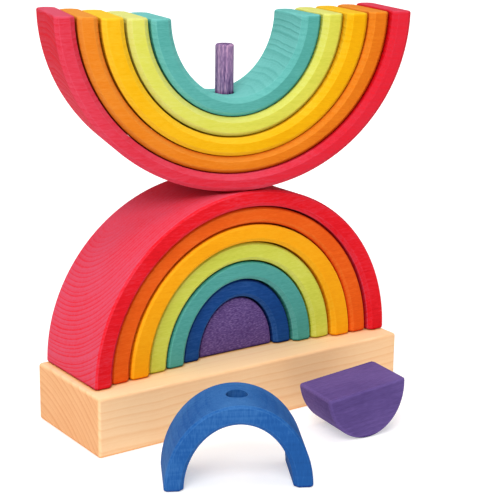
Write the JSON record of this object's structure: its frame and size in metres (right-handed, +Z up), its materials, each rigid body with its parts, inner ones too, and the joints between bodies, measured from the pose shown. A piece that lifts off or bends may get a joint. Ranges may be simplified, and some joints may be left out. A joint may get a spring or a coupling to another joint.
{
  "type": "rainbow stacking tower",
  "caption": "Wooden stacking toy: nested rainbow arches on a dowel that stands in a softwood block, with another rainbow of arches set upside down on top.",
  "frame": {"origin": "on the dowel's axis, at the underside of the base block", "axes": "+Z up along the dowel, +X along the block's length, -Y towards the front that the picture shows"},
  "size_m": [0.2396, 0.2134, 0.2631],
  "materials": {
    "softwood": "planed natural softwood, oiled",
    "rod": "thin purple stain over streaky hardwood",
    "purple": "matt purple water stain",
    "blue": "matt blue water stain",
    "teal": "matt teal water stain",
    "lime": "matt lime water stain",
    "yellow": "matt yellow water stain",
    "orange": "matt orange water stain",
    "red": "matt red water stain"
  },
  "bodies": {
    "stand": {"base_block": "softwood", "dowel": "rod"},
    "lower_purple": {"lower_purple": "purple"},
    "lower_blue": {"lower_blue": "blue"},
    "lower_teal": {"lower_teal": "teal"},
    "lower_lime": {"lower_lime": "lime"},
    "lower_yellow": {"lower_yellow": "yellow"},
    "lower_orange": {"lower_orange": "orange"},
    "lower_red": {"lower_red": "red"},
    "upper_red": {"upper_red": "red"},
    "upper_orange": {"upper_orange": "orange"},
    "upper_yellow": {"upper_yellow": "yellow"},
    "upper_lime": {"upper_lime": "lime"},
    "upper_teal": {"upper_teal": "teal"},
    "upper_blue": {"upper_blue": "blue"},
    "upper_purple": {"upper_purple": "purple"}
  },
  "joints": [
    {"name": "lift_lower_purple", "type": "slide", "parent": "stand", "child": "lower_purple", "axis": [0, 0, 1], "range_m": [0, 0.204]},
    {"name": "lift_lower_blue", "type": "slide", "parent": "lower_purple", "child": "lower_blue", "axis": [0, 0, 1], "range_m": [0, 0.166]},
    {"name": "lift_lower_teal", "type": "slide", "parent": "lower_blue", "child": "lower_teal", "axis": [0, 0, 1], "range_m": [0, 0.153]},
    {"name": "lift_lower_lime", "type": "slide", "parent": "lower_teal", "child": "lower_lime", "axis": [0, 0, 1], "range_m": [0, 0.14]},
    {"name": "lift_lower_yellow", "type": "slide", "parent": "lower_lime", "child": "lower_yellow", "axis": [0, 0, 1], "range_m": [0, 0.127]},
    {"name": "lift_lower_orange", "type": "slide", "parent": "lower_yellow", "child": "lower_orange", "axis": [0, 0, 1], "range_m": [0, 0.114]},
    {"name": "lift_lower_red", "type": "slide", "parent": "lower_orange", "child": "lower_red", "axis": [0, 0, 1], "range_m": [0, 0.102]},
    {"name": "swivel_upper_red", "type": "hinge", "parent": "lower_red", "child": "upper_red", "pos_m": [0, 0, 0.1511], "axis": [0, 0, 1], "continuous": true},
    {"name": "lift_upper_orange", "type": "slide", "parent": "upper_red", "child": "upper_orange", "axis": [0, 0, 1], "range_m": [0, 0.08]},
    {"name": "lift_upper_yellow", "type": "slide", "parent": "upper_orange", "child": "upper_yellow", "axis": [0, 0, 1], "range_m": [0, 0.069]},
    {"name": "lift_upper_lime", "type": "slide", "parent": "upper_yellow", "child": "upper_lime", "axis": [0, 0, 1], "range_m": [0, 0.058]},
    {"name": "lift_upper_teal", "type": "slide", "parent": "upper_lime", "child": "upper_teal", "axis": [0, 0, 1], "range_m": [0, 0.045]},
    {"name": "pick_up_upper_blue", "type": "slide", "parent": "stand", "child": "upper_blue", "axis": [0, 0, 1], "range_m": [0, 0.245]},
    {"name": "rock_upper_purple", "type": "hinge", "parent": "stand", "child": "upper_purple", "pos_m": [0.04012, -0.09142, 0.02501], "axis": [0.1063, 0.9943, 0], "range_deg": [-18.2, 31.8]}
  ]
}
